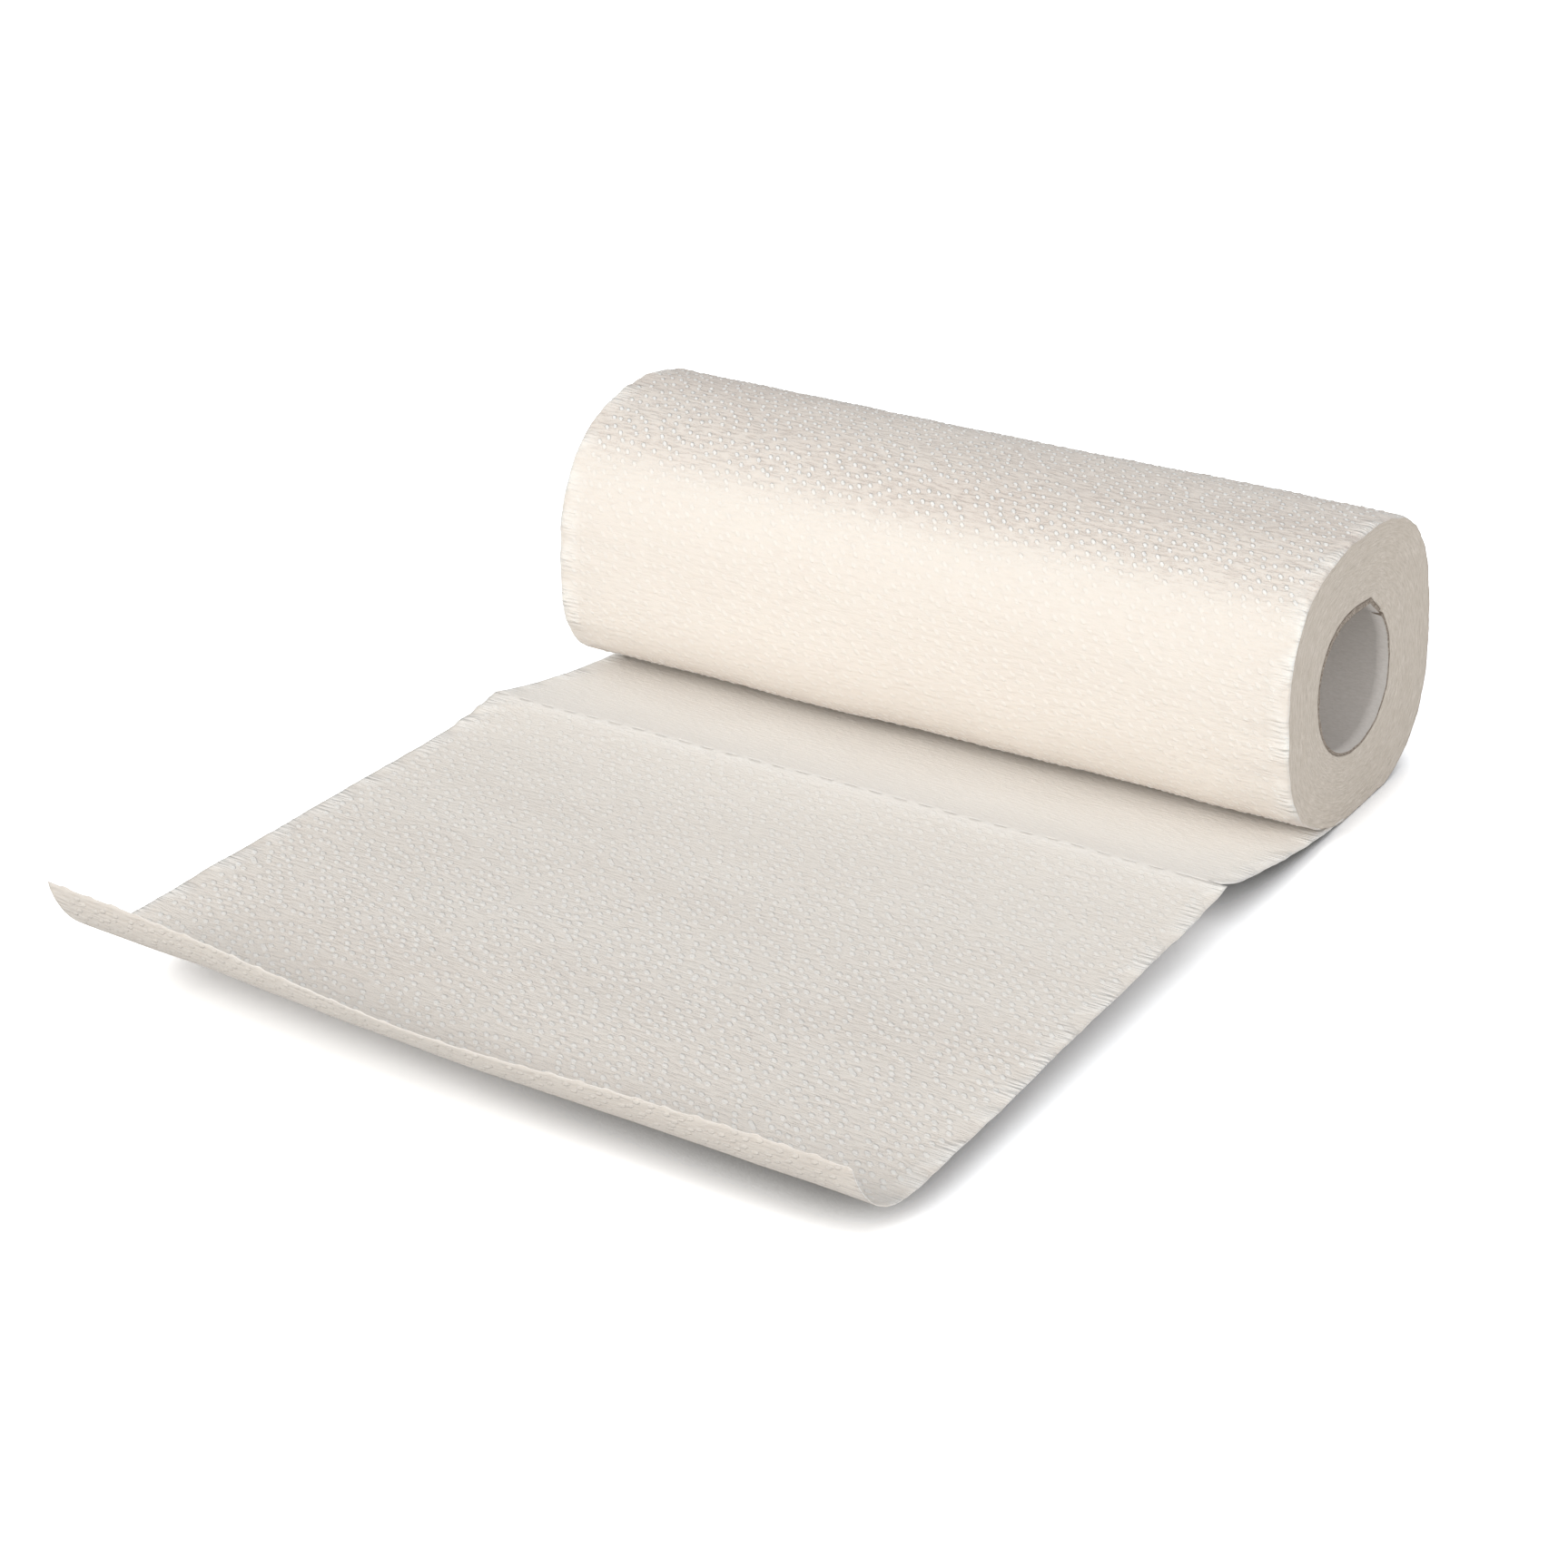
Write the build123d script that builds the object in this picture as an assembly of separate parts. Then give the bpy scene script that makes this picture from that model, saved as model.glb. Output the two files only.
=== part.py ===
from build123d import *
from math import cos, degrees, exp, pi, radians, remainder, sin
import os

# A paper towel roll that lies on its side, with its last sheet pulled out in front.
# X runs along the roll, the tail leaves towards -Y, and Z is up from the surface below.
# The origin is the middle of the flat spot that the roll rests on. Lengths are in millimetres.

# The wound roll, squashed into a rounded square that leans to the front
roll_length = 225.0
roll_across = 91.6
roll_height = 83.0
roll_squareness = 2.6        # 2 is an ellipse, more is squarer
roll_lean = 0.12             # shift to the front for each millimetre of height
flat_depth = 1.2             # how far the underside is pressed flat

# The cardboard tube, squashed with the roll
core_across = 46.2
core_height = 43.4
core_squareness = 2.1
core_lean = 0.2
core_wall = 0.9
core_forward = 4.3           # the tube's centre lies this far in front of the roll's
core_lift = 0.6              # and this far above it
core_setback = 0.1           # the rim stands this far inside the paper's end
core_clearance = 0.05        # glue line between tube and paper
crease_angle = radians(61)
crease_rise = 1.6
crease_spread = radians(9)
nick_angle = radians(38)
nick_width = 3.6
nick_depth = 2.8

# The turns of paper that show at both ends
turn_count = 12
turn_gap = 0.4
turn_depth = 1.2
first_turn = 0.12            # where the turns start and stop, from 0 at the tube to 1 at the outside
last_turn = 0.96

# The tail: its sheet, its line of perforations and its curled end.
# Left is the -X edge and right the +X edge, and the sheet between them is slightly twisted.
paper_thickness = 0.6
root_inset = 10.0            # the tail starts this far in front of the flat spot's middle
root_height = 0.5            # of the tail's underside, inside the wound paper
root_run = 12.0
root_pitch = radians(5)      # climb away from the roll
crest_forward = 83.4         # line of perforations, in front of the flat spot's middle
crest_pitch = radians(16)
crest_radius = 1.6
fall_pitch_left = radians(12)
fall_pitch_right = radians(8)
fall_length = 26.0
sheet_length = 195.5         # along the paper, from the perforations to the free edge
run_pitch_left = radians(1.5)
run_pitch_right = radians(-1.5)
curl_radius = 28.5
curl_length = 37.5
tear_length = 11.0           # the perforations have started to part at the +X edge
tear_width = 1.0
tear_round = 5.0
slit_length = 5.0
slit_pitch = 7.5
slit_width = 0.4

# How finely the formula outlines are sampled
outline_arcs = 40
turn_points = 18             # in one turn

section_height = roll_height + flat_depth
roll_centre_z = roll_height - section_height / 2
roll_centre_y = -roll_lean * roll_centre_z
half_length = roll_length / 2
crest_y = -crest_forward
rise_reach = crest_forward - root_inset - root_run * cos(root_pitch) - crest_radius * sin(crest_pitch)


def blend(inner, outer, grow):
    return inner + (outer - inner) * grow


def section_point(x, angle, grow, inset=0.0):
    """A point of the wound section: grow 0 is the tube's outside, grow 1 the roll's outside."""
    half_across = blend(core_across, roll_across, grow) / 2 - inset
    half_height = blend(core_height, section_height, grow) / 2 - inset
    power = blend(core_squareness, roll_squareness, grow)
    lean = blend(core_lean, roll_lean, grow)
    centre_y = roll_centre_y - blend(core_forward, 0, grow)
    centre_z = roll_centre_z + blend(core_lift, 0, grow)
    spread = abs(cos(angle) / half_across) ** power + abs(sin(angle) / half_height) ** power
    away_from_crease = abs(remainder(angle - crease_angle, 2 * pi))
    crease = crease_rise * (1 - grow) ** 2 * exp(-away_from_crease / crease_spread)
    reach = spread ** (-1 / power) + crease
    rise = reach * sin(angle)
    return Vector(x, centre_y + reach * cos(angle) - lean * rise, centre_z + rise)


def section_face(x, grow, inset=0.0):
    """The whole section at one place along the roll, as arcs that start and end at the crease."""
    half_step = pi / outline_arcs
    arcs = []
    for count in range(outline_arcs):
        start = crease_angle + 2 * half_step * count
        angles = (start, start + half_step, start + 2 * half_step)
        stops = [section_point(x, angle, grow, inset) for angle in angles]
        arcs.append(Edge.make_three_point_arc(*stops))
    return Face(Wire(arcs))


def along_x(face, length):
    return Solid.extrude(face, Vector(length, 0, 0))


def turn_groove(x, depth):
    """The gap between the turns, as a spiral strip that is cut into one end of the roll."""
    count = turn_count * turn_points
    steps = [step / count for step in range(count + 1)]
    angles = [crease_angle + 2 * pi * turn_count * step for step in steps]
    grows = [blend(first_turn, last_turn, step) for step in steps]
    outer = [section_point(x, angle, grow) for angle, grow in zip(angles, grows)]
    inner = [section_point(x, angle, grow, turn_gap) for angle, grow in zip(angles, grows)]
    return along_x(Face(Wire.make_polygon([*outer, *reversed(inner)])), depth)


def tail_path(side):
    """Length and turn of each stretch of the tail's edge: side 0 is the left edge, side 1 the right edge."""
    run_pitch = blend(run_pitch_left, run_pitch_right, side)
    fall_pitch = blend(fall_pitch_left, fall_pitch_right, side)
    rise_turn = crest_pitch - root_pitch
    rise_radius = rise_reach / (sin(crest_pitch) - sin(root_pitch))
    fall_turn = fall_pitch + run_pitch
    crest_turn = -crest_pitch - fall_pitch
    run_length = sheet_length - fall_length - curl_length
    return [
        (root_run, 0),
        (rise_radius * rise_turn, rise_turn),
        (crest_radius * abs(crest_turn), crest_turn),
        (fall_length, fall_turn),
        (run_length, 0),
        (curl_length, curl_length / curl_radius),
    ]


def tail_edges(side, offset):
    """The tail's side view, offset from its middle line: up is positive."""
    x = blend(-half_length, half_length, side)
    y, z = -root_inset, root_height + paper_thickness / 2
    pitch = root_pitch
    edges = []

    for length, turn in tail_path(side):
        up = (sin(pitch), cos(pitch))
        if turn:
            way = 1 if turn > 0 else -1
            radius = length / abs(turn)
            centre = (y + way * radius * up[0], z + way * radius * up[1])
            reach = way * radius - offset
            bend = [(sin(pitch + turn * part), cos(pitch + turn * part)) for part in (0, 0.5, 1)]
            stops = [Vector(x, centre[0] - reach * a, centre[1] - reach * b) for a, b in bend]
            edges.append(Edge.make_three_point_arc(*stops))
            pitch += turn
            y, z = centre[0] - way * radius * sin(pitch), centre[1] - way * radius * cos(pitch)
        else:
            start = Vector(x, y + offset * up[0], z + offset * up[1])
            y, z = y - length * cos(pitch), z + length * sin(pitch)
            edges.append(Edge.make_line(start, Vector(x, y + offset * up[0], z + offset * up[1])))
    return edges


def tail_outline(side):
    top = tail_edges(side, paper_thickness / 2)
    bottom = tail_edges(side, -paper_thickness / 2)
    back = Edge.make_line(bottom[0] @ 0, top[0] @ 0)
    front = Edge.make_line(top[-1] @ 1, bottom[-1] @ 1)
    return Wire([back, *top, front, *reversed(bottom)])


def tear():
    """What the parted perforations leave open at the +X edge: a slit, with the roll side's corner round."""
    tip = Vector(half_length - tear_length, crest_y)
    corner = Vector(half_length, crest_y)
    centre = corner + Vector(-tear_round, tear_width + tear_round)
    arc = Edge.make_circle(tear_round, Plane(centre), start_angle=-90, end_angle=0)
    outline = [Edge.make_line(corner, arc @ 1), arc, Edge.make_line(arc @ 0, tip), Edge.make_line(tip, corner)]
    return Solid.extrude(Face(Wire(outline)), Vector(0, 0, roll_height))


def slits():
    """The row of perforations, from the -X edge to the tear."""
    row_length = roll_length - tear_length
    slit = Box(slit_length, slit_width, 2 * roll_height)
    row = GridLocations(slit_pitch, 0, int(row_length / slit_pitch), 1)
    return [Pos(-tear_length / 2, crest_y) * place * slit for place in row]


def tail():
    sheet = Solid.make_loft([tail_outline(0), tail_outline(1)], ruled=True)
    return sheet - tear() - slits()


def towel_web():
    """The one web of paper: the wound turns round the tube's bore, and the tail in front."""
    wound = along_x(section_face(-half_length, 1), roll_length)
    bore = along_x(section_face(-half_length, 0, -core_clearance), roll_length)
    floor = Pos(0, 0, -roll_height / 2) * Box(2 * roll_length, 2 * roll_across, roll_height)
    web = wound - floor - bore
    web -= turn_groove(-half_length, turn_depth)
    web -= turn_groove(half_length - turn_depth, turn_depth)
    return web + tail()


def core_tube():
    """The cardboard tube, with the small nick in its rim beside the crease."""
    length = roll_length - 2 * core_setback
    start = -length / 2
    tube = along_x(section_face(start, 0), length) - along_x(section_face(start, 0, core_wall), length)
    place = section_point(length / 2, nick_angle, 0)
    nick = Location(place) * Rot(X=degrees(nick_angle)) * Box(2 * nick_depth, nick_width, nick_width)
    return tube - nick


os.makedirs("parts", exist_ok=True)
for name, piece in (("towel_web", towel_web()), ("core_tube", core_tube())):
    export_step(piece, "parts/" + name + ".step")
    print(name, len(piece.solids()), "solids", round(piece.volume), "mm3")
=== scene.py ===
from bisect import bisect_right
from math import cos, exp, floor, hypot, radians, remainder, sin, tau

import bmesh
import bpy
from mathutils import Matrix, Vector, noise


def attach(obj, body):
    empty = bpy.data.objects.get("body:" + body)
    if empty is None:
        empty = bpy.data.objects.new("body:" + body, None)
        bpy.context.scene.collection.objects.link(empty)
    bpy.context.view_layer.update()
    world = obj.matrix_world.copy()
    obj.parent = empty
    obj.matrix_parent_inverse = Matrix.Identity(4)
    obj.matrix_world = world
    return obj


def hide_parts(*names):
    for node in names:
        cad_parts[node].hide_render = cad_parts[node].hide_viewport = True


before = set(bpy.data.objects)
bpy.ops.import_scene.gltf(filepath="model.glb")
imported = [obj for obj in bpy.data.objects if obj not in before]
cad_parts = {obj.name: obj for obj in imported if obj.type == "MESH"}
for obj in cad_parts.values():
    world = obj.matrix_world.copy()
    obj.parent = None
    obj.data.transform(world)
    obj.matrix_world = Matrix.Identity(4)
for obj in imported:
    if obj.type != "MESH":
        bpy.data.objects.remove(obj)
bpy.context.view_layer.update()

bl_info = {
    "name": "Paper towel roll",
    "version": (1, 0, 0),
    "blender": (4, 5, 0),
    "location": "View3D > Sidebar > Paper towel",
    "description": "Makes a squashed roll of embossed paper towel with its last sheet pulled out",
    "category": "Add Mesh",
}

# Lengths are written in millimetres and turned to metres where the points are placed
MM = 0.001

# The wound section and the tube, as they are in the solids
roll_length = 225.0
roll_across = 91.6
roll_height = 83.0
roll_squareness = 2.6        # 2 is an ellipse, more is squarer
roll_lean = 0.12             # shift to the front for each millimetre of height
flat_depth = 1.2             # how far the underside is pressed flat
core_across = 46.2
core_height = 43.4
core_squareness = 2.1
core_lean = 0.2
core_wall = 0.9
core_forward = 4.3           # the tube's centre lies this far in front of the roll's
core_lift = 0.6              # and this far above it
core_setback = 0.1           # the rim stands this far inside the paper's end
core_clearance = 0.05        # glue line between tube and paper
crease_angle = radians(61)
crease_rise = 1.6
crease_spread = radians(9)
nick_angle = radians(38)
nick_depth = 2.8

# The finer things of the roll that only show here
far_lean_loss = 0.15         # the far end leans less
nip_hollow = 1.9             # the turns are drawn in above the line where the tail leaves the roll
far_nip_hollow = 4.0         # and more so at the far end
nip_angle = radians(235)
nip_spread = radians(20)
far_slump = 4.1              # the far end has sunk at the back of its top
slump_angle = radians(55)
slump_spread = radians(21)
slack_height = 0.5           # slow waves of the outer turn, with finer ones half as high
crimp_height = 0.5           # folds and pleats of the outer turn towards its cut rims
rim_rounding = 0.5           # how far its very rim bends in
end_setback = 0.15           # the turns' ends lie inside the rims
turn_stagger = 0.05          # and stand out and in by turns
turn_waviness = 0.3          # and wander along the winding
end_map_depth = 22.0         # the paper map's run across an end

# The finer things of the tube that only show here
crushed_angle = radians(95)  # where the rim is crushed wider
crushed_spread = radians(55)
crushed_gain = 1.2           # how much wider, as a share of the wall
crushed_run = 9.0            # along the tube
lining_waves = 0.16
rim_hollow = 0.35            # the plies part along the middle of the cut rim
rim_hollow_share = 0.2       # and this share of it beside the middle
rim_fray = 0.2
joint_spread = 0.7           # half the width of the plies' joint

# The tail, as it is in the solids
root_inset = 10.0            # it starts this far in front of the flat spot's middle
root_height = 0.5            # of its underside, inside the wound paper
paper_bulk = 0.6             # its thickness there
root_run = 12.0
root_pitch = radians(5)
crest_forward = 83.4         # line of perforations, in front of the flat spot's middle
crest_pitch = radians(16)
crest_radius = 1.6
fall_pitch_left = radians(12)
fall_pitch_right = radians(8)
fall_length = 26.0
sheet_length = 195.5
run_pitch_left = radians(1.5)
run_pitch_right = radians(-1.5)
curl_radius = 28.5
curl_length = 37.5
tear_length = 11.0

# The finer things of the tail that only show here
paper_thickness = 0.3
lip_sag = 6.5                # the curl's radius is this much wider in its middle
lip_sag_middle = 0.47        # from 0 at the left edge to 1 at the right edge
lip_sag_spread = 0.25
pitch_columns = 6            # columns of the mesh in one pitch of the perforations
slit_columns = 4             # and how many of them are cut
slit_gap = 0.01
open_tear = 6.0              # of the tear's length that gapes, with the roll side's corner rounded
tear_inset = 4.8
tear_round = 9.0
tear_gap = 0.8
nib_length = 0.9             # torn fibres left of each perforation bridge
pleat_height = 1.3           # at the left edge, past the perforations
pleat_reach = 20.0           # from that edge

# The emboss, and the share of it that is left where the paper is pulled flat or pressed; the share also sets
# the paper's painted shade and light
emboss_seed = 1              # for the rings' centres, any whole number but 0
ring_wander = 7.0            # how far a ring's centre strays from its even place
first_ring = 0.4             # radius of the smallest ring, as a share of the ring spacing
widest_ring = 1.4            # and of the largest, as a share of half the motif's width
near_centres = 2.5           # as widest_ring, for the centres that a ring gives way to
rim_margin = 4.0             # kept free of dots along the cut rims
dot_crowding = 0.75          # dots closer than this share of their spacing are left out
flap_depth = 0.1             # left between the roll and the perforations
pressed_depth = 0.22         # on the roll's front
near_depth = 0.27            # on the sheet, just past the perforations
sheet_depth = 0.54           # and further out
depth_run = 110.0            # from the one to the other

# How finely the meshes are laid out
skin_columns = 225
face_columns = 40
bore_columns = 3
around_rows = 290
tail_columns = 180
rise_rows = 66
sheet_rows = 170
tube_columns = 60
rim_columns = 4
tube_rows = 200
merge_distance = 0.001

# The camera, solved from the outlines in the photograph, and what the lamps face
camera_place = Vector((471.61, -886.12, 468.24))
camera_aim = Vector((-0.468082, 0.766881, -0.439081))
camera_lens = 89.63
camera_sensor = 36
lamp_target = Vector((0, -80, 30))

section_height = roll_height + flat_depth
roll_centre_z = roll_height - section_height / 2
roll_centre_y = -roll_lean * roll_centre_z
half_length = roll_length / 2
rise_reach = crest_forward - root_inset - root_run * cos(root_pitch) - crest_radius * sin(crest_pitch)


def blend(inner, outer, grow):
    return inner + (outer - inner) * grow


def fade(value, start, end):
    """0 before start, 1 past end and smooth between."""
    part = min(1.0, max(0.0, (value - start) / (end - start)))
    return part * part * (3 - 2 * part)


def ripple(x, y, z, size):
    """Smooth noise from -1 to 1 whose waves are about size millimetres long."""
    return noise.noise(Vector((x, y, z)) / size)


def linear(code):
    """A hex colour as the linear values that a shader takes."""
    parts = [int(code[start:start + 2], 16) / 255 for start in (1, 3, 5)]
    return [part / 12.92 if part <= 0.04045 else ((part + 0.055) / 1.055) ** 2.4 for part in parts] + [1.0]


def dent(x, angle):
    """How far the roll's outside is drawn in above the nip, and at the back of the far end's top."""
    far = (half_length - x) / roll_length
    from_nip = remainder(angle - nip_angle, tau) / nip_spread
    from_slump = remainder(angle - slump_angle, tau) / slump_spread
    hollow = blend(nip_hollow, far_nip_hollow, far) * exp(-from_nip ** 2)
    return hollow + far_slump * far * exp(-from_slump ** 2)


def section_point(x, angle, grow, inset=0.0):
    """A point of the wound section: grow 0 is the tube's outside, grow 1 the roll's outside."""
    half_across = blend(core_across, roll_across, grow) / 2 - inset
    half_height = blend(core_height, section_height, grow) / 2 - inset
    power = blend(core_squareness, roll_squareness, grow)
    lean = blend(core_lean, roll_lean, grow) - far_lean_loss * grow * (half_length - x) / roll_length
    centre_y = roll_centre_y - blend(core_forward, 0, grow)
    centre_z = roll_centre_z + blend(core_lift, 0, grow)
    spread = abs(cos(angle) / half_across) ** power + abs(sin(angle) / half_height) ** power
    away_from_crease = abs(remainder(angle - crease_angle, tau))
    crease = crease_rise * (1 - grow) ** 2 * exp(-away_from_crease / crease_spread)
    reach = spread ** (-1 / power) + crease - grow * dent(x, angle)
    rise = reach * sin(angle)
    return Vector((x, centre_y + reach * cos(angle) - lean * rise, centre_z + rise))


def wound_point(x, angle, grow):
    """A section point whose outer turns are pressed flat where the roll stands on them."""
    point = section_point(x, angle, grow, -core_clearance * (1 - grow))
    sunk = -section_point(x, angle, 1).z
    if sunk > 0:
        point.z += sunk * fade(grow, 0.5, 1.0)
    return point


def even_angles(count, grow, fineness=2000):
    """Angles from the crease round to the crease again that lie evenly spaced along the section."""
    fine = [crease_angle + tau * step / fineness for step in range(fineness + 1)]
    points = [section_point(0, angle, grow) for angle in fine]
    lengths = [0.0]
    for before, after in zip(points, points[1:]):
        lengths.append(lengths[-1] + (after - before).length)
    found = []
    for step in range(count + 1):
        target = lengths[-1] * step / count
        place = min(fineness - 1, max(0, bisect_right(lengths, target) - 1))
        part = (target - lengths[place]) / (lengths[place + 1] - lengths[place])
        found.append(blend(fine[place], fine[place + 1], part))
    return found, lengths[-1]


def ring_centres(column_pitch, rows, row_pitch):
    """Centres of the rings of dots: staggered, a little off their even places, and some past the edges."""
    # This noise follows the clock until it has a seed
    noise.seed_set(emboss_seed)
    centres = []
    for row in range(-2, rows + 3):
        for column in range(-6, 7):
            if (row + column) % 2 == 0:
                wander = noise.noise_vector(Vector((3.7 * column, 5.3 * (row % rows), 1.5)))
                centres.append((column * column_pitch + ring_wander * wander.x,
                                row * row_pitch + ring_wander * wander.y))
    return centres


def ring_dots(centre, ring_pitch, dot_pitch, widest):
    """The dots of the rings round one centre, each with its ring's radius."""
    radius = first_ring * ring_pitch
    while radius < widest:
        count = round(tau * radius / dot_pitch)
        for step in range(count):
            turn = tau * (step + 0.5 * (round(radius) % 2)) / count
            yield radius, centre[0] + radius * cos(turn), centre[1] + radius * sin(turn)
        radius += ring_pitch


def dot_places(settings, length):
    """The emboss: rings of dots round staggered centres, laid out on the flat paper as (x, distance along)."""
    ring_pitch = settings.ring_spacing / MM
    dot_pitch = settings.dot_spacing / MM
    column_pitch = settings.motif_width / 2 / MM
    rows = max(2, 2 * round(length / settings.motif_length / 2 * MM))
    centres = ring_centres(column_pitch, rows, length / rows)
    places = {}
    for centre in centres:
        near = [c for c in centres
                if 0 < hypot(c[0] - centre[0], c[1] - centre[1]) < near_centres * column_pitch]
        for radius, x, along in ring_dots(centre, ring_pitch, dot_pitch, widest_ring * column_pitch):
            inside = 0 <= along < length and abs(x) < half_length - rim_margin
            if not inside or any(hypot(x - c[0], along - c[1]) < radius for c in near):
                continue
            cell = floor(x / dot_pitch), floor(along / dot_pitch)
            around = [places.get((cell[0] + a, cell[1] + b)) for a in (-1, 0, 1) for b in (-1, 0, 1)]
            gaps = [hypot(x - other[0], along - other[1]) for other in around if other]
            if all(gap > dot_crowding * dot_pitch for gap in gaps):
                places[cell] = (x, along)
    return list(places.values())


def flat_grid(columns, rows, *marks):
    """A bmesh grid, its vertices by column and row, its paper map and the named marks for each vertex."""
    mesh = bmesh.new()
    flat = mesh.loops.layers.uv.new("flat_paper")
    marked = [mesh.verts.layers.float.new(mark) for mark in marks]
    bmesh.ops.create_grid(mesh, x_segments=columns, y_segments=rows, size=1)
    keyed = {}
    for vert in mesh.verts:
        keyed[round((vert.co.x + 1) / 2 * columns), round((vert.co.y + 1) / 2 * rows)] = vert
    if len(keyed) != (columns + 1) * (rows + 1):
        raise RuntimeError("the grid has another count of vertices than expected")
    return mesh, keyed, flat, *marked


def map_paper(mesh, flat, places):
    """Writes the paper map: the place of each vertex on the flat paper, in metres."""
    for face in mesh.faces:
        for loop in face.loops:
            x, along = places[loop.vert]
            loop[flat].uv = (x * MM, along * MM)


def finish_piece(mesh, name, node, materials):
    """Makes the object of a closed mesh, with smooth shading and faces that point outwards."""
    bmesh.ops.recalc_face_normals(mesh, faces=mesh.faces)
    for face in mesh.faces:
        face.smooth = True
    data = bpy.data.meshes.new(name)
    mesh.to_mesh(data)
    mesh.free()
    for material in materials:
        data.materials.append(material)
    piece = bpy.data.objects.new(name, data)
    bpy.context.scene.collection.objects.link(piece)
    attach(piece, "root")
    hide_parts(node)
    return piece


def add_node(tree, kind, inputs=None, **settings):
    """Adds one shader node. Each input is a plain value or another node's output."""
    made = tree.nodes.new(kind)
    for name, value in settings.items():
        setattr(made, name, value)
    for name, value in (inputs or {}).items():
        if isinstance(value, bpy.types.NodeSocket):
            tree.links.new(value, made.inputs[name])
        else:
            made.inputs[name].default_value = value
    return made


def empty_tree(owner):
    """The node tree of a material or a world, with nothing in it."""
    owner.use_nodes = True
    owner.node_tree.nodes.clear()
    return owner.node_tree


def new_material(name, look):
    """A material with its main shader, whose own sockets hold what is the same all over."""
    material = bpy.data.materials.new(name)
    tree = empty_tree(material)
    shader = add_node(tree, "ShaderNodeBsdfPrincipled", look)
    add_node(tree, "ShaderNodeOutputMaterial", {"Surface": shader.outputs["BSDF"]})
    return material, tree, shader


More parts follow.
